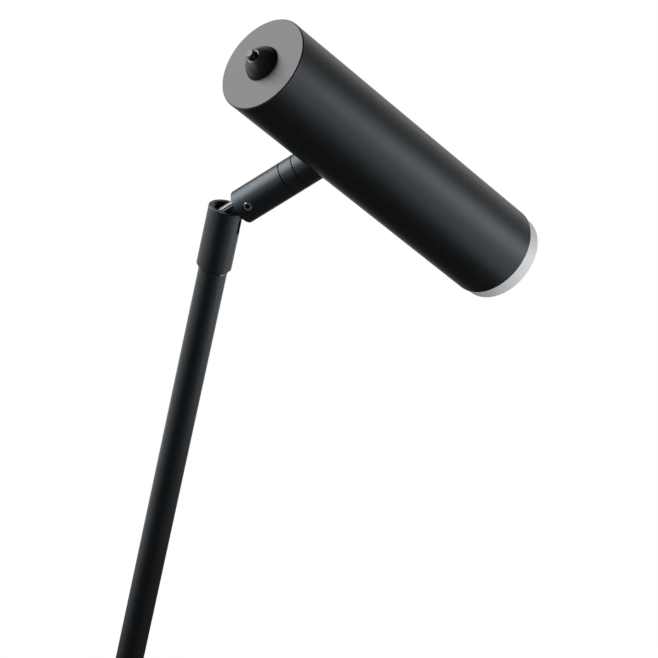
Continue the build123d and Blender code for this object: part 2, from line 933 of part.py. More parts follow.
with BuildPart() as switch_body:
    turn(
        head_frame,
        (plunger_radius + seat_gap, thread_top),
        (switch_thread, thread_top),
        (switch_thread, plate_inner),
        (switch_body_radius, plate_inner),
        (switch_body_radius, body_end),
        (0, body_end),
        (0, cavity_end),
        (switch_cavity_radius, cavity_end),
        (switch_cavity_radius, cavity_top),
        (plunger_radius + seat_gap, cavity_top),
    )
    for lead in (-terminal_spacing / 2, terminal_spacing / 2):
        block(
            head_frame,
            (-terminal_thickness / 2 - seat_gap, terminal_thickness / 2 + seat_gap),
            (lead - terminal_width / 2 - seat_gap, lead + terminal_width / 2 + seat_gap),
            (cavity_end, body_end),
            mode=Mode.SUBTRACT,
        )
switch_body.part.label = "switch_body"

with BuildPart() as switch_nut:
    crown = Plane(origin=head_frame.origin, x_dir=head_frame.x_dir, z_dir=-head_frame.y_dir)
    nut_apex = plate_face - switch_nut_height
    shoulder_height = plate_face - switch_nut_bulge_height
    nut_hole = plunger_radius + slip_gap
    nut_floor = thread_top - seat_gap
    nut_thread = switch_thread + running_gap
    with BuildSketch(crown) as dome:
        with BuildLine():
            Line((nut_thread, plate_face), (switch_nut_radius, plate_face))
            ThreePointArc(
                (switch_nut_radius, plate_face),
                (switch_nut_radius * switch_nut_bulge, shoulder_height),
                (switch_nut_top, nut_apex),
            )
            Polyline(
                (switch_nut_top, nut_apex),
                (nut_hole, nut_apex),
                (nut_hole, nut_floor),
                (nut_thread, nut_floor),
                (nut_thread, plate_face),
            )
        make_face()
    revolve(dome.sketch, axis=Axis(head_frame.origin, head_frame.z_dir))
switch_nut.part.label = "switch_nut"

plunger_tip = plate_face - switch_nut_height - switch_travel - plunger_spare
flange_top = cavity_top + face_gap
flange_under = flange_top + plunger_flange_height

with BuildPart() as switch_plunger:
    turn(
        head_frame,
        (0, plunger_tip),
        (plunger_radius - plunger_round, plunger_tip),
        (plunger_radius, plunger_tip + plunger_round),
        (plunger_radius, flange_top),
        (plunger_flange_radius, flange_top),
        (plunger_flange_radius, flange_under),
        (0, flange_under),
    )
switch_plunger.part.label = "switch_plunger"

spring_low = flange_under + spring_wire + face_gap
spring_high = cavity_end - spring_wire - face_gap

with BuildPart() as switch_spring:
    with BuildLine() as coil_path:
        Helix(
            pitch=(spring_high - spring_low) / spring_turns,
            height=spring_high - spring_low,
            radius=spring_radius,
            center=head_frame.from_local_coords((0, 0, spring_low)),
            direction=head_frame.z_dir,
        )
    with BuildSketch(Plane(origin=coil_path.line @ 0, z_dir=coil_path.line % 0)) as coil_core:
        Circle(spring_wire)
    sweep(coil_core.sketch, path=coil_path.line, is_frenet=True)
switch_spring.part.label = "switch_spring"

with BuildPart() as switch_terminals:
    for lead in (-terminal_spacing / 2, terminal_spacing / 2):
        block(
            head_frame,
            (-terminal_thickness / 2, terminal_thickness / 2),
            (lead - terminal_width / 2, lead + terminal_width / 2),
            (cavity_end, body_end + terminal_length),
        )
switch_terminals.part.label = "switch_terminals"

# ---------------------------------------------------------------- driver

tray_back = plate_inner + lug_length - tray_overlap
tray_front = sink_lug_back + tray_overlap
tray_half_width = sqrt(tube_inside**2 - lug_inner**2) - tray_margin
board_half_width = tray_half_width - board_margin
board_top = tray_under - standoff_height
board_face = board_top - board_height
board_back = body_end + terminal_length + board_from_switch
board_front = board_back + board_length
inlet_back = board_back + block_margin
outlet_front = board_front - block_margin
standoff_places = [
    (along, lead)
    for along in (board_back + board_corner, board_front - board_corner)
    for lead in (-board_half_width + board_corner, board_half_width - board_corner)
]

with BuildPart() as driver_tray:
    block(
        head_frame,
        (tray_under, lug_inner),
        (-tray_half_width, tray_half_width),
        (board_back - tray_behind_board, board_front + tray_before_board),
    )
    block(
        head_frame,
        (tray_under, lug_inner),
        (-lug_half_width, lug_half_width),
        (tray_back, tray_front),
    )
    for along in (plate_screws_at, sink_screws_at):
        for lead in (-tray_screw_spacing / 2, tray_screw_spacing / 2):
            tube(
                sideways(head_frame, along, lead),
                tray_under,
                lug_inner,
                tray_screw_radius + seat_gap,
                mode=Mode.SUBTRACT,
            )
driver_tray.part.label = "driver_tray"

with BuildPart() as tray_screws:
    for along in (plate_screws_at, sink_screws_at):
        for lead in (-tray_screw_spacing / 2, tray_screw_spacing / 2):
            side = sideways(head_frame, along, lead)
            tube(side, tray_under - tray_screw_head_height, tray_under, tray_screw_head)
            tube(side, tray_under, lug_inner + tray_screw_length - seat_gap, tray_screw_radius)
tray_screws.part.label = "tray_screws"

with BuildPart() as board_standoffs:
    for along, lead in standoff_places:
        tube(sideways(head_frame, along, lead), board_top, tray_under, standoff_radius)
board_standoffs.part.label = "board_standoffs"

with BuildPart() as driver_board:
    block(
        head_frame,
        (board_face, board_top),
        (-board_half_width, board_half_width),
        (board_back, board_front),
    )
driver_board.part.label = "driver_board"


def on_board(size, along):
    """A component standing on the board's face, size given as (tall, wide, long)."""
    block(
        head_frame,
        (board_face - size[0], board_face),
        (-size[1] / 2, size[1] / 2),
        (along - size[2] / 2, along + size[2] / 2),
    )


with BuildPart() as driver_components:
    on_board(transformer_size, board_back + transformer_at)
    tube(
        sideways(head_frame, board_back + capacitor_at, 0),
        board_face - capacitor_length,
        board_face,
        capacitor_radius,
    )
    tube(
        sideways(head_frame, board_back + coil_at, 0),
        board_face - coil_length,
        board_face,
        coil_radius,
    )
driver_components.part.label = "driver_components"

with BuildPart() as driver_terminals:
    on_board(block_size, inlet_back + block_size[2] / 2)
    on_board(block_size, outlet_front - block_size[2] / 2)
driver_terminals.part.label = "driver_terminals"

# ---------------------------------------------------------------- light engine

lamp_board_radius = insert_radius - lamp_board_margin
lamp_screw_circle_radius = lamp_board_radius - lamp_screw_inset
diffuser_radius = head_radius - diffuser_step
diffuser_bore = insert_radius - diffuser_spigot_wall
reflector_mouth = diffuser_bore - seat_gap - reflector_wall

with BuildPart() as heat_sink:
    tube(head_frame, sink_offset, sink_front, insert_radius)
    with BuildSketch(head_frame.offset(sink_offset)) as fins:
        with PolarLocations(insert_radius, fin_slots, 360 / fin_slots / 2):
            Rectangle(2 * fin_slot_depth, fin_slot_width)
    extrude(fins.sketch, amount=sink_length - fin_plate, mode=Mode.SUBTRACT)
    block(
        head_frame,
        (lug_inner, lug_outer),
        (-lug_half_width, lug_half_width),
        (sink_lug_back, sink_offset + fin_plate),
    )
    for lead in (-tray_screw_spacing / 2, tray_screw_spacing / 2):
        tube(
            sideways(head_frame, sink_screws_at, lead),
            lug_inner,
            lug_inner + tray_screw_length,
            tray_screw_radius + running_gap,
            mode=Mode.SUBTRACT,
        )
    tube(
        across(head_frame, grub_at, -1),
        head_radius - grub_length,
        head_radius,
        grub_radius + running_gap,
        mode=Mode.SUBTRACT,
    )
    with BuildSketch(head_frame.offset(sink_offset)) as wire_hole:
        with Locations((-lamp_wire_hole_at, 0)):
            Circle(lamp_wire_hole)
    extrude(wire_hole.sketch, amount=sink_length, mode=Mode.SUBTRACT)
    with BuildSketch(head_frame.offset(sink_front)) as screw_holes:
        with PolarLocations(lamp_screw_circle_radius, 2, 90):
            Circle(lamp_screw_radius + running_gap)
    extrude(screw_holes.sketch, amount=lamp_board_height - lamp_screw_length, mode=Mode.SUBTRACT)
heat_sink.part.label = "heat_sink"

with BuildPart() as led_board:
    tube(head_frame, sink_front, lamp_board_front, lamp_board_radius)
    with BuildSketch(head_frame.offset(sink_front)) as board_holes:
        with PolarLocations(lamp_screw_circle_radius, 2, 90):
            Circle(lamp_screw_radius + running_gap)
        with Locations((-lamp_wire_hole_at, 0)):
            Circle(lamp_wire_hole)
    extrude(board_holes.sketch, amount=lamp_board_height, mode=Mode.SUBTRACT)
led_board.part.label = "led_board"

with BuildPart() as led_emitter:
    tube(head_frame, lamp_board_front, lamp_board_front + emitter_height, emitter_radius)
led_emitter.part.label = "led_emitter"

with BuildPart() as led_screws:
    with BuildSketch(head_frame.offset(lamp_board_front)) as screw_heads:
        with PolarLocations(lamp_screw_circle_radius, 2, 90):
            Circle(lamp_screw_head)
    extrude(screw_heads.sketch, amount=lamp_screw_head_height)
    with BuildSketch(head_frame.offset(lamp_board_front)) as screw_shanks:
        with PolarLocations(lamp_screw_circle_radius, 2, 90):
            Circle(lamp_screw_radius)
    extrude(screw_shanks.sketch, amount=seat_gap - lamp_screw_length)
led_screws.part.label = "led_screws"

with BuildPart() as reflector:
    turn(
        head_frame,
        (reflector_throat, lamp_board_front),
        (reflector_throat + reflector_wall, lamp_board_front),
        (reflector_mouth + reflector_wall, reflector_front),
        (reflector_mouth, reflector_front),
    )
reflector.part.label = "reflector"

with BuildPart() as diffuser:
    tube(head_frame, head_front_length, lens_front, diffuser_radius)
    fillet(
        diffuser.edges().filter_by(GeomType.CIRCLE).sort_by(Axis(head_frame.origin, head_frame.z_dir))[-1],
        radius=diffuser_round,
    )
    tube(head_frame, head_front_length - diffuser_spigot, head_front_length, insert_radius)
    tube(
        head_frame,
        head_front_length - diffuser_spigot,
        lens_front - diffuser_wall,
        diffuser_bore,
        mode=Mode.SUBTRACT,
    )
diffuser.part.label = "diffuser"

with BuildPart() as head_grub_screw:
    grub_frame = across(head_frame, grub_at, -1)
    grub_face = head_radius - set_screw_recess
    tube(grub_frame, head_radius - grub_length + seat_gap, grub_face, grub_radius)
    hexagon(grub_frame, grub_face - hex_depth, grub_face, grub_hex_across, mode=Mode.SUBTRACT)
head_grub_screw.part.label = "head_grub_screw"

# ---------------------------------------------------------------- head wiring

# In the head frame the nipple's mouth looks along x. One wire goes to the switch, one to the
# driver, a third joins the switch to the driver, and two run forwards to the lamp board.
mouth = nipple_low - head_offset
wire_row = board_face - block_size[0] / 2
tab_end = body_end + terminal_length
clear_of_nut = nipple_high - head_offset + 2 * wire_straight
next_row = clear_of_nut + 2 * (wire_radius + wire_gap)
terminal_y = terminal_spacing / 2

with BuildPart() as head_wires:
    wire(
        head_frame,
        [
            (mouth, 0, -wire_pitch),
            (clear_of_nut, 0, -wire_pitch),
            (clear_of_nut, terminal_y, inlet_back + wire_straight),
            (0, terminal_y, inlet_back - switch_wire_dip),
            (0, terminal_y, tab_end),
        ],
        [wire_wide_bend, wire_wide_bend, wire_wide_bend],
    )
    wire(
        head_frame,
        [
            (mouth, 0, wire_pitch),
            (next_row, 0, wire_pitch),
            (next_row, 0, inlet_back - driver_wire_dip),
            (wire_row, 0, inlet_back - driver_wire_dip),
            (wire_row, 0, inlet_back),
        ],
        [wire_wide_bend, wire_wide_bend, wire_wide_bend],
    )
    tube(
        Plane(
            origin=head_frame.from_local_coords((0, -terminal_y, 0)),
            x_dir=head_frame.x_dir,
            z_dir=head_frame.z_dir,
        ),
        tab_end,
        inlet_back,
        wire_radius,
    )
head_wires.part.label = "head_wires"

with BuildPart() as led_wires:
    for lead in (-1, 1):
        wire(
            head_frame,
            [
                (wire_row, lead * lamp_wire_spread, outlet_front),
                (wire_row, lead * lamp_wire_spread, outlet_front + lamp_wire_lead),
                (-lamp_wire_hole_at, lead * wire_pitch, sink_offset - lamp_wire_lead),
                (-lamp_wire_hole_at, lead * wire_pitch, lamp_board_front),
            ],
            [wire_wide_bend, wire_wide_bend],
        )
led_wires.part.label = "led_wires"

# ---------------------------------------------------------------- files

pieces = [
    foot_pad,
    base_plate,
    base_weight,
    plate_screws,
    base_shell,
    cord_gland,
    terminal_block,
    terminal_screws,
    post_washer,
    post_nut,
    foot_post,
    foot_set_screw,
    base_wires,
    lower_tongue,
    lower_joint_wires,
    lower_knuckle,
    lower_pivot_pin,
    lower_friction_bush,
    stem_tube,
    stem_rings,
    stem_wires,
    upper_knuckle,
    upper_pivot_pin,
    upper_friction_bush,
    upper_joint_wires,
    neck_tongue,
    neck_body,
    neck_set_screw,
    neck_wires,
    swivel_ring,
    spring_washer,
    swivel_nut,
    swivel_washer,
    stop_pin,
    swivel_nipple,
    head_collar,
    head_tube,
    saddle_washer,
    nipple_nut,
    end_plate,
    switch_body,
    switch_nut,
    switch_plunger,
    switch_spring,
    switch_terminals,
    driver_tray,
    tray_screws,
    board_standoffs,
    driver_board,
    driver_components,
    driver_terminals,
    heat_sink,
    led_board,
    led_emitter,
    led_screws,
    reflector,
    diffuser,
    head_grub_screw,
    head_wires,
    led_wires,
]

os.makedirs("parts", exist_ok=True)
for piece in pieces:
    export_step(piece.part, f"parts/{piece.part.label}.step")
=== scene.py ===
import json
import math

import bpy
from mathutils import Matrix, Vector


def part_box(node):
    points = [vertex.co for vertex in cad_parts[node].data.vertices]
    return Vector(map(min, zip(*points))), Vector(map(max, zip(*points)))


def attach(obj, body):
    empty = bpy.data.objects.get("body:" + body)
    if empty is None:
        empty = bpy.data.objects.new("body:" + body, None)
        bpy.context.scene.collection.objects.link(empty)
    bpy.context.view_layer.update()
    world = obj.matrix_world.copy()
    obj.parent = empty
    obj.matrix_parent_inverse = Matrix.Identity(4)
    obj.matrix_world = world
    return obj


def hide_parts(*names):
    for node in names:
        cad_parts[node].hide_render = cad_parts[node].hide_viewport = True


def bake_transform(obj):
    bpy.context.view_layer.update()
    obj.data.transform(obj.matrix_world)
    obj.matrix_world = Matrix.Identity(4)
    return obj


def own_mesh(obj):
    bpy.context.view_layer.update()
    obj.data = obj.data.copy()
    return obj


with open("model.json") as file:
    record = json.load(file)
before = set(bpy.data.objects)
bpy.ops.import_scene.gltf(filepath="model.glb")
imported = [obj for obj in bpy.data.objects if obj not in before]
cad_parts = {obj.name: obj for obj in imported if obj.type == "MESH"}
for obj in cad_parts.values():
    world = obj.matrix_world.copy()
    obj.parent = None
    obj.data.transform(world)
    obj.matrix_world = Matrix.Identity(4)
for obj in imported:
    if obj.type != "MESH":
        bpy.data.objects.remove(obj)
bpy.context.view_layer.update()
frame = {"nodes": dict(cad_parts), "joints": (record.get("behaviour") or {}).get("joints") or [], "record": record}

# ---------------------------------------------------------------- the lamp's own places, in metres

MM = 0.001
joints = {joint["name"]: joint for joint in frame["joints"]}
foot_pivot = Vector(joints["base_tilt"]["pos_m"])
neck_pivot = Vector(joints["neck_tilt"]["pos_m"])
neck_line = Vector(joints["head_swivel"]["axis"]).normalized()
head_line = Vector(joints["switch_push"]["axis"]).normalized()
stem_line = (neck_pivot - foot_pivot).normalized()
hinge_line = Vector((0, 1, 0))

# ---------------------------------------------------------------- finishes


class Value:
    """A socket in a finish's node tree. Sums on it add the nodes that work them out."""

    def __init__(self, finish, socket):
        self.finish = finish
        self.socket = socket

    def _sum(self, operation, *terms):
        return self.finish.node("ShaderNodeMath", {"operation": operation}, dict(enumerate(terms)))

    def __add__(self, other):
        return self._sum("ADD", self, other)

    def __rsub__(self, other):
        return self._sum("SUBTRACT", other, self)

    def __mul__(self, other):
        return self._sum("MULTIPLY", self, other)

    __radd__ = __add__
    __rmul__ = __mul__


class Finish:
    """A material, or the world, built node by node."""

    def __init__(self, name, owner=None):
        self.owner = owner or bpy.data.materials.new(name)
        self.owner.use_nodes = True
        self.tree = self.owner.node_tree
        self.tree.nodes.clear()
        self.places = None

    def node(self, kind, settings=None, sockets=None, output=0):
        """Adds a node: its settings first, then the values or links of its sockets."""
        made = self.tree.nodes.new(kind)
        for key, value in (settings or {}).items():
            if key == "stops":
                stops = made.color_ramp.elements
                for index, (place, colour) in enumerate(value):
                    stop = stops[index] if index < 2 else stops.new(place)
                    stop.position = place
                    stop.color = colour
            else:
                setattr(made, key, value)
        for key, value in (sockets or {}).items():
            if isinstance(value, Value):
                self.tree.links.new(value.socket, made.inputs[key])
            else:
                made.inputs[key].default_value = value
        return Value(self, made.outputs[output]) if len(made.outputs) else made

    def place(self):
        """Where a point of the piece is, in metres, in the lamp's own frame."""
        self.places = self.places or self.node("ShaderNodeTexCoord", output=3)
        return self.places

    def noise(self, scale, detail=2.0, roughness=0.5, stretch=None):
        """A soft random field from 0 to 1, with features about 1 / scale across."""
        where = self.place()
        if stretch:
            where = self.node("ShaderNodeMapping", {}, {"Vector": where, "Scale": stretch})
        sockets = {"Vector": where, "Scale": scale, "Detail": detail, "Roughness": roughness}
        return self.node("ShaderNodeTexNoise", {}, sockets)

    def ease(self, value, low, high):
        """Goes softly from 0 to 1 while the value goes from low to high."""
        sockets = {"Value": value, "From Min": low, "From Max": high}
        return self.node("ShaderNodeMapRange", {"interpolation_type": "SMOOTHSTEP"}, sockets)

    def blend(self, mask, low, high):
        """A colour that goes from low to high with the mask."""
        sockets = {0: mask, 6: (*low, 1), 7: (*high, 1)}
        return self.node("ShaderNodeMix", {"data_type": "RGBA"}, sockets, output=2)

    def relief(self, height, strength, depth):
        """A bump from a height field, depth in metres."""
        sockets = {"Height": height, "Strength": strength, "Distance": depth}
        return self.node("ShaderNodeBump", {}, sockets)

    def surface(self, **sockets):
        """The Principled shader and the output. Spaces in socket names are written as _."""
        named = {key.replace("_", " "): value for key, value in sockets.items()}
        shader = self.node("ShaderNodeBsdfPrincipled", {}, named)
        self.node("ShaderNodeOutputMaterial", {}, {"Surface": shader})
        return self.owner


def grey(level, blue=0.0):
    return (level, level * (1 + blue / 2), level * (1 + blue))


def powder_coat(name, roughness, gloss, sheen):
    """Fine matte black powder coat: a close, even orange peel over a nearly black colour."""
    finish = Finish(name)
    cloud = finish.noise(28.0)
    peel = finish.noise(2300.0, 1.5)
    return finish.surface(
        Base_Color=finish.blend(cloud, grey(0.0018, 0.10), grey(0.0028, 0.12)),
        Roughness=roughness + 0.03 * cloud + 0.03 * peel,
        Specular_IOR_Level=gloss,
        Specular_Tint=(*sheen, 1),
        Normal=finish.relief(peel, 0.10, 0.02 * MM),
    )


def moulded(name, low, high, roughness, peel_scale=1600.0, peel_strength=0.12):
    """Moulded plastic or rubber with a fine spark-eroded texture."""
    finish = Finish(name)
    cloud = finish.noise(60.0)
    peel = finish.noise(peel_scale)
    return finish.surface(
        Base_Color=finish.blend(cloud, low, high),
        Roughness=roughness + 0.05 * cloud + 0.04 * peel,
        Normal=finish.relief(peel, peel_strength, 0.02 * MM),
    )


def plated(name, low, high, roughness):
    """Plated or bare metal: fine turning marks that catch the light, and slight clouding."""
    finish = Finish(name)
    cloud = finish.noise(180.0)
    marks = finish.noise(900.0, 3.0, 0.6, (1.0, 1.0, 6.0))
    return finish.surface(
        Base_Color=finish.blend(cloud, low, high),
        Metallic=1.0,
        Roughness=roughness + 0.08 * marks + 0.05 * cloud,
        Normal=finish.relief(marks, 0.10, 0.01 * MM),
    )


# How far below its face a set screw's socket starts to get its painted shade, and where the painted shade is full.
SOCKET_SHADE_START = 0.05 * MM
SOCKET_SHADE_FULL = 0.45 * MM


def socket_screw(node):
    """A nickel set screw: bright on its face, with painted shade down in its hexagon socket."""
    finish = Finish("nickel_set_screw")
    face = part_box(node)[0][1]
    depth = finish.node("ShaderNodeSeparateXYZ", {}, {0: finish.place()}, output=1)
    # Painted shade: the hexagon socket is painted dark, non-metallic and rougher the deeper it goes below the
    # face.
    socket = finish.ease(depth, face + SOCKET_SHADE_START, face + SOCKET_SHADE_FULL)
    marks = finish.noise(900.0, 3.0)
    return finish.surface(
        Base_Color=finish.blend(socket, (0.62, 0.615, 0.605), grey(0.02)),
        Metallic=1 - socket,
        Roughness=0.24 + 0.08 * marks + 0.2 * socket,
        Normal=finish.relief(marks, 0.10, 0.01 * MM),
    )


def cast_iron():
    """Sand-cast iron with a coarse skin."""
    finish = Finish("cast_iron_skin")
    cloud = finish.noise(90.0, 4.0)
    sand = finish.noise(1100.0, 4.0, 0.65)
    return finish.surface(
        Base_Color=finish.blend(cloud, (0.045, 0.044, 0.043), (0.085, 0.08, 0.075)),
        Metallic=0.6,
        Roughness=0.6 + 0.2 * sand,
        Normal=finish.relief(sand, 0.5, 0.12 * MM),
    )


def foam():
    """Dense foam rubber with closed pores."""
    finish = Finish("foam_pad")
    pores = finish.node(
        "ShaderNodeTexVoronoi", {"feature": "F1"}, {"Vector": finish.place(), "Scale": 1400.0}
    )
    cloud = finish.noise(50.0)
    return finish.surface(
        Base_Color=finish.blend(pores, (0.012, 0.012, 0.012), (0.03, 0.03, 0.03)),
        Roughness=0.8 + 0.1 * cloud,
        Normal=finish.relief(pores, 0.5, 0.15 * MM),
    )


def opal():
    """Frosted opal acrylic: an even white with the faintest clouding and a satin face."""
    finish = Finish("opal_acrylic")
    cloud = finish.noise(45.0)
    frost = finish.noise(2600.0, 2.0)
    return finish.surface(
        Base_Color=finish.blend(cloud, (0.855, 0.86, 0.87), (0.885, 0.89, 0.90)),
        Roughness=0.46 + 0.05 * frost,
        Normal=finish.relief(frost, 0.06, 0.01 * MM),
    )


def board(name, lacquer, track):
    """A lacquered circuit board with broad copper tracks showing through."""
    finish = Finish(name)
    tracks = finish.node(
        "ShaderNodeTexVoronoi",
        {"feature": "DISTANCE_TO_EDGE"},
        {"Vector": finish.place(), "Scale": 260.0},
    )
    mask = finish.node(
        "ShaderNodeValToRGB", {"stops": [(0.08, (0, 0, 0, 1)), (0.12, (1, 1, 1, 1))]}, {0: tracks}
    )
    return finish.surface(
        Base_Color=finish.blend(mask, lacquer, track),
        Roughness=0.35 + 0.1 * finish.noise(300.0),
        Normal=finish.relief(mask, 0.2, 0.03 * MM),
    )


TEAL_SHEEN = (0.80, 0.92, 1.0)
PLAIN_SHEEN = (0.98, 0.97, 1.0)

FINISHES = {
    "black_coat": powder_coat("steel_powder_coat", 0.40, 0.60, TEAL_SHEEN),
    "black_aluminium": powder_coat("head_powder_coat", 0.41, 0.49, TEAL_SHEEN),
    "black_plastic": moulded("black_plastic", grey(0.006, 0.2), grey(0.008, 0.2), 0.33),
    "nickel_steel": plated("nickel_plate", (0.48, 0.475, 0.465), (0.60, 0.595, 0.585), 0.26),
    # A darker copy of the nickel plate, given to the two tongues.
    "tongue_nickel": plated("tongue_nickel", (0.17, 0.17, 0.17), (0.27, 0.268, 0.265), 0.46),
    "dark_steel": plated("black_nickel", (0.10, 0.10, 0.11), (0.14, 0.14, 0.15), 0.12),
    "brass": plated("turned_brass", (0.66, 0.48, 0.20), (0.78, 0.60, 0.28), 0.26),
    "iron": cast_iron(),
    "foam_rubber": foam(),
    "bare_aluminium": plated("extruded_aluminium", (0.66, 0.67, 0.68), (0.78, 0.79, 0.80), 0.32),
    "white_plastic": moulded("white_plastic", grey(0.74), grey(0.80), 0.42),
    "opal": opal(),
    "board_green": board("green_board", (0.02, 0.12, 0.045), (0.035, 0.2, 0.07)),
    "board_white": board("white_board", grey(0.78), grey(0.84)),
    "phosphor": moulded("phosphor_gel", (0.78, 0.62, 0.10), (0.86, 0.72, 0.16), 0.35, 3000.0, 0.3),
    "wire_black": moulded("wire_insulation", grey(0.012), grey(0.02), 0.38, 900.0),
}

for subpart in frame["record"]["subparts"]:
    piece = frame["nodes"][subpart["node"]]
    piece.data.materials.clear()
    piece.data.materials.append(FINISHES[subpart["material_slot"]])

# Pieces whose finish differs from the rest of their slot.
own_finishes = {
    "end_plate": powder_coat("plate_powder_coat", 0.41, 0.50, PLAIN_SHEEN),
    "neck_tongue": FINISHES["tongue_nickel"],
    "lower_tongue": FINISHES["tongue_nickel"],
    "neck_set_screw": socket_screw("neck_set_screw"),
    "foot_set_screw": socket_screw("foot_set_screw"),
}
for node_name, finish in own_finishes.items():
    frame["nodes"][node_name].data.materials[0] = finish

# ---------------------------------------------------------------- wires bent round the joint pins

WIRE_RADIUS = 0.6 * MM
LEAD_X = 2.7 * MM
LEAD_Y = 2.9 * MM
BORE_DEPTH = 12.5 * MM
LINK_END = 16.5 * MM
CORNER_LEAD = 1.6 * MM


def strand(name, points, radius, cuts=12):
    """A round strand along a smooth line through its control points, as a mesh."""
    curve = bpy.data.curves.new(name, "CURVE")
    curve.dimensions = "3D"
    curve.bevel_depth = radius
    curve.bevel_resolution = 4
    curve.use_fill_caps = True
    spline = curve.splines.new("NURBS")
    spline.points.add(len(points) - 1)
    for knot, point in zip(spline.points, points):
        knot.co = (*point, 1)
    spline.order_u = 3
    spline.use_endpoint_u = True
    spline.resolution_u = cuts
    holder = bpy.data.objects.new(name, curve)
    bpy.context.scene.collection.objects.link(holder)
    mesh = bpy.data.meshes.new_from_object(holder.evaluated_get(bpy.context.evaluated_depsgraph_get()))
    bpy.data.objects.remove(holder)
    mesh.shade_smooth()
    mesh.name = name
    return mesh


def piece_of(name, mesh, slot_name, *nodes):
    piece = bpy.data.objects.new(name, mesh)
    bpy.context.scene.collection.objects.link(piece)
    piece.data.materials.clear()
    piece.data.materials.append(FINISHES[slot_name])
    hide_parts(*nodes)
    return piece


def joined(name, meshes):
    """One mesh from several."""
    vertices, faces = [], []
    for mesh in meshes:
        first = len(vertices)
        vertices += [vertex.co.copy() for vertex in mesh.vertices]
        faces += [[first + corner for corner in face.vertices] for face in mesh.polygons]
    whole = bpy.data.meshes.new(name)
    whole.from_pydata(vertices, [], faces)
    whole.shade_smooth()
    return whole


def joint_wires(name, node, pivot, along_stem, along_arm, slot_side):
    """The two wires that pass a pivot pin, on the side away from the housing's slot."""
    away = -slot_side
    away_arm = along_arm.cross(hinge_line)
    away_arm = away_arm if away_arm.dot(away) > 0 else -away_arm
    corner = (away + away_arm).normalized()
    reach = LEAD_X / corner.dot(away)
    strands = []
    for lead in (-LEAD_Y, LEAD_Y):
        row = pivot + hinge_line * lead
        points = [
            row + away * LEAD_X + along_stem * BORE_DEPTH,
            row + away * LEAD_X + along_stem * BORE_DEPTH / 2,
            row + away * LEAD_X + along_stem * CORNER_LEAD,
            row + corner * reach,
            row + away_arm * LEAD_X + along_arm * CORNER_LEAD,
            row + away_arm * LEAD_X + along_arm * LINK_END / 2,
            row + away_arm * LEAD_X + along_arm * LINK_END,
        ]
        strands.append(strand(name, points, WIRE_RADIUS))
    piece = piece_of(name, joined(name, strands), "wire_black", node)
    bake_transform(piece)


slot_side_top = hinge_line.cross(stem_line)
joint_wires(
    "neck_joint_leads", "upper_joint_wires", neck_pivot, -stem_line, neck_line, slot_side_top,
)
joint_wires(
    "foot_joint_leads", "lower_joint_wires", foot_pivot, stem_line, Vector((0, 0, -1)), slot_side_top,
)

# ---------------------------------------------------------------- the switch's spring

SPRING_TURNS = 5
SPRING_RADIUS = 3.0 * MM
SPRING_WIRE = 0.3 * MM
SPRING_LENGTH = 10.34 * MM
SPRING_POINTS_A_TURN = 12

low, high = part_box("switch_spring")
spring_middle = (Vector(low) + Vector(high)) / 2
spring_foot = spring_middle + head_line * (SPRING_LENGTH / 2)
spring_x = hinge_line.cross(head_line).normalized()
spring_y = head_line.cross(spring_x)
coil = []
for step in range(SPRING_TURNS * SPRING_POINTS_A_TURN + 1):
    turn = 2 * math.pi * step / SPRING_POINTS_A_TURN
    rise = SPRING_LENGTH * step / (SPRING_TURNS * SPRING_POINTS_A_TURN)
    coil.append(
        spring_foot
        - head_line * rise
        + spring_x * SPRING_RADIUS * math.cos(turn)
        + spring_y * SPRING_RADIUS * math.sin(turn)
    )
spring_mesh = strand("push_spring", coil, SPRING_WIRE, 3)
spring = piece_of("push_spring", spring_mesh, "nickel_steel", "switch_spring")
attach(spring, "head")
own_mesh(spring)

# ---------------------------------------------------------------- floor, world, lights, camera

FLOOR_HALF = 12.0


def floor_finish():
    """A pale floor. What the camera sees of it is nearly white, and it still takes the shadow."""
    finish = Finish("pale_floor")
    path = finish.node("ShaderNodeLightPath", output=0)
    camera_ray = path
    glossy_ray = Value(finish, path.socket.node.outputs["Is Glossy Ray"])
    through_ray = Value(finish, path.socket.node.outputs["Is Transmission Ray"])
    depth = finish.node("ShaderNodeSeparateXYZ", {}, {0: finish.place()}, output=1)
    spread = finish.node("ShaderNodeVectorMath", {"operation": "LENGTH"}, {0: finish.place()}, output=1)
    behind = finish.ease(depth, 0.20, 0.50)
    far = finish.ease(spread, 0.08, 0.20)
    cloud = finish.noise(1.5)
    pale = finish.node(
        "ShaderNodeBsdfPrincipled",
        {},
        {"Base Color": finish.blend(cloud, grey(0.44), grey(0.46)), "Roughness": 0.9},
    )
    white = finish.node("ShaderNodeEmission", {}, {"Color": (1, 1, 1, 1), "Strength": 1.0})
    share = camera_ray * (0.80 + 0.20 * far) + (glossy_ray + through_ray) * behind
    mixed = finish.node("ShaderNodeMixShader", {}, {0: share, 1: pale, 2: white})
    finish.node("ShaderNodeOutputMaterial", {}, {"Surface": mixed})
    return finish.owner


def studio_world():
    """A dim studio that is white behind the lamp, where the backdrop hangs."""
    world = bpy.data.worlds.new("studio")
    finish = Finish("studio", world)
    path = finish.node("ShaderNodeLightPath", output=0)
    glossy_ray = Value(finish, path.socket.node.outputs["Is Glossy Ray"])
    through_ray = Value(finish, path.socket.node.outputs["Is Transmission Ray"])
    direction = finish.node("ShaderNodeTexCoord", output=0)
    depth = finish.node("ShaderNodeSeparateXYZ", {}, {0: direction}, output=1)
    behind = finish.ease(depth, 0.65, 0.95)
    share = path + (glossy_ray + through_ray) * behind
    dim = finish.node("ShaderNodeBackground", {}, {"Color": (0.94, 0.97, 1.0, 1), "Strength": 0.02})
    white = finish.node("ShaderNodeBackground", {}, {"Color": (1, 1, 1, 1), "Strength": 1.0})
    mixed = finish.node("ShaderNodeMixShader", {}, {0: share, 1: dim, 2: white})
    finish.node("ShaderNodeOutputWorld", {}, {"Surface": mixed})
    bpy.context.scene.world = world


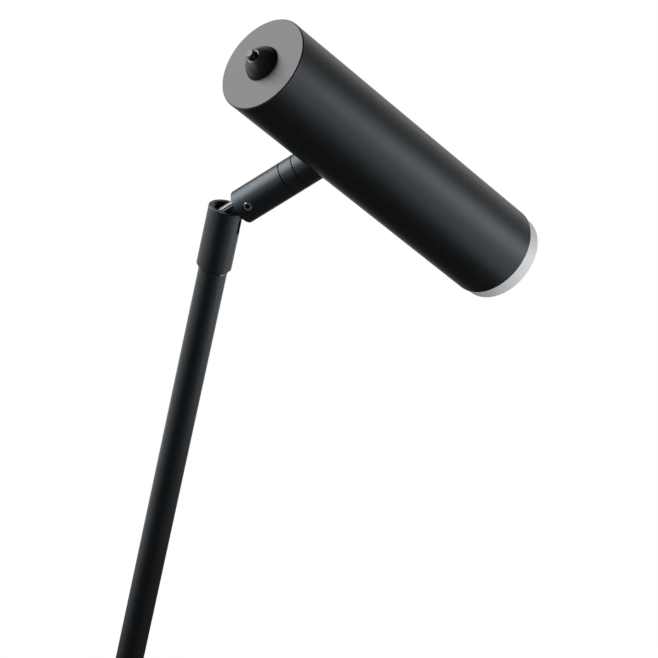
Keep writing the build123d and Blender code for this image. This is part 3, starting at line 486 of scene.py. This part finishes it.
def soft_box(name, bearing, rise, distance, width, height, watts, on_floor=False):
    """An area lamp round the lamp's middle: degrees from +X, degrees above level, metres away."""
    light = bpy.data.lights.new(name, "AREA")
    light.shape = "RECTANGLE"
    light.size = width
    light.size_y = height
    light.energy = watts
    light.color = SOFT_WHITE
    box = bpy.data.objects.new(name, light)
    bpy.context.scene.collection.objects.link(box)
    bearing, rise = math.radians(bearing), math.radians(rise)
    outward = Vector(
        (math.cos(rise) * math.cos(bearing), math.cos(rise) * math.sin(bearing), math.sin(rise))
    )
    box.location = LAMP_MIDDLE + outward * distance
    box.rotation_euler = (-outward).to_track_quat("-Z", "Y").to_euler()
    box.visible_camera = False
    if not on_floor:
        box.light_linking.receiver_collection = unlit_floor
    return box


def low_panel(name, x, y, width, depth, watts):
    """A glowing card that lies on the floor and faces up, in metres."""
    panel = soft_box(name, 0, 0, 0, width, depth, watts)
    panel.location = (x, y, PANEL_RISE)
    panel.rotation_euler = (math.pi, 0, 0)


floor_mesh = bpy.data.meshes.new("floor")
floor_mesh.from_pydata(
    [
        (-FLOOR_HALF, -FLOOR_HALF, 0),
        (FLOOR_HALF, -FLOOR_HALF, 0),
        (FLOOR_HALF, FLOOR_HALF, 0),
        (-FLOOR_HALF, FLOOR_HALF, 0),
    ],
    [],
    [(0, 1, 2, 3)],
)
floor_mesh.materials.append(floor_finish())
floor = bpy.data.objects.new("floor", floor_mesh)
bpy.context.scene.collection.objects.link(floor)

# The soft boxes light the lamp alone, and the fill alone lights the floor, where the shadow lies.
unlit_floor = bpy.data.collections.new("unlit_floor")
unlit_floor.objects.link(floor)
unlit_floor.collection_objects[0].light_linking.link_state = "EXCLUDE"

LAMP_MIDDLE = Vector((0.09, 0.0, 0.34))
PANEL_RISE = 0.015
SOFT_WHITE = (0.97, 0.98, 1.0)

studio_world()
soft_box("key_box", 168, 34, 1.0, 0.70, 0.60, 9.4)
soft_box("key_core", 200, 28, 1.0, 0.32, 0.36, 3.1)
soft_box("left_box", 193, 4, 1.0, 0.76, 0.50, 2.1)
soft_box("left_low_box", 226, 0, 1.0, 0.38, 0.50, 0.87)
soft_box("right_box", 14, -12, 1.0, 0.70, 0.30, 3.07)
soft_box("right_high_box", 8, 22, 1.0, 0.50, 0.50, 0.3)
soft_box("front_box", 325, -14, 1.0, 0.40, 0.30, 2.5)
low_panel("right_panel", 0.61, 0.08, 0.54, 0.36, 1.0)
low_panel("left_panel", -0.75, 0.05, 0.90, 0.70, 1.75)
fill = soft_box("fill_box", -80, 35, 1.4, 1.0, 1.0, 4.0, on_floor=True)
fill.visible_glossy = False

VIEW_AZIMUTH = math.radians(14.0)
VIEW_ELEVATION = math.radians(23.44)
VIEW_LENS = 168.9
VIEW_RIGHT = 42.54 * MM
VIEW_UP = -45.04 * MM
VIEW_BACK = 1251.6 * MM

right = Vector((math.cos(VIEW_AZIMUTH), math.sin(VIEW_AZIMUTH), 0))
back = Vector(
    (
        math.sin(VIEW_AZIMUTH) * math.cos(VIEW_ELEVATION),
        -math.cos(VIEW_AZIMUTH) * math.cos(VIEW_ELEVATION),
        math.sin(VIEW_ELEVATION),
    )
)
up = back.cross(right)
camera_data = bpy.data.cameras.new("camera")
camera_data.lens = VIEW_LENS
camera_data.sensor_width = 36.0
camera_data.clip_end = 60.0
camera = bpy.data.objects.new("camera", camera_data)
bpy.context.scene.collection.objects.link(camera)
camera.location = neck_pivot + right * VIEW_RIGHT + up * VIEW_UP + back * VIEW_BACK
camera.rotation_euler = Matrix((right, up, back)).transposed().to_euler()
bpy.context.scene.camera = camera
bpy.context.scene.view_settings.view_transform = "Standard"
